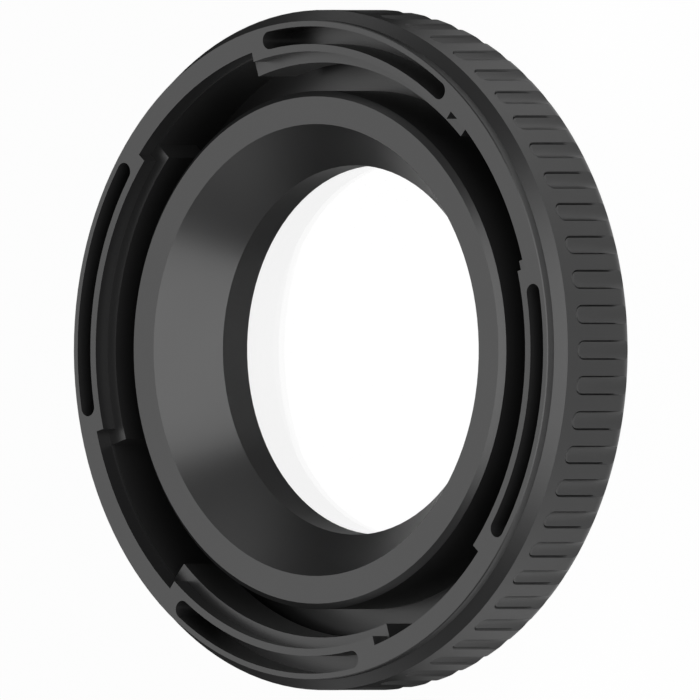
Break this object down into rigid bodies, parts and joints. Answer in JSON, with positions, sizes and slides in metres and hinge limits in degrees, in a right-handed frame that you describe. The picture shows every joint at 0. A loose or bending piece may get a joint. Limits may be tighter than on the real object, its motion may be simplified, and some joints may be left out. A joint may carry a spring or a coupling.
{
  "type": "lens guard",
  "caption": "Round black twist-on guard with a notched grip, bayonet lugs around a funnel-shaped bore, and a clear protective lens at its outer end.",
  "frame": {"origin": "centre of the flat outer rim, the plane that the guard lies on with its mount side up", "axes": "+Z along the optical axis and out of the mount side; +X through the middle of one arc slot"},
  "size_m": [0.044, 0.044, 0.0074],
  "materials": {
    "black_plastic": "fine matte",
    "black_gasket": "matte",
    "clear_lens": "polished"
  },
  "bodies": {
    "root": {"guard_ring": "black_plastic", "lens_gasket": "black_gasket", "protective_lens": "clear_lens"}
  },
  "joints": []
}
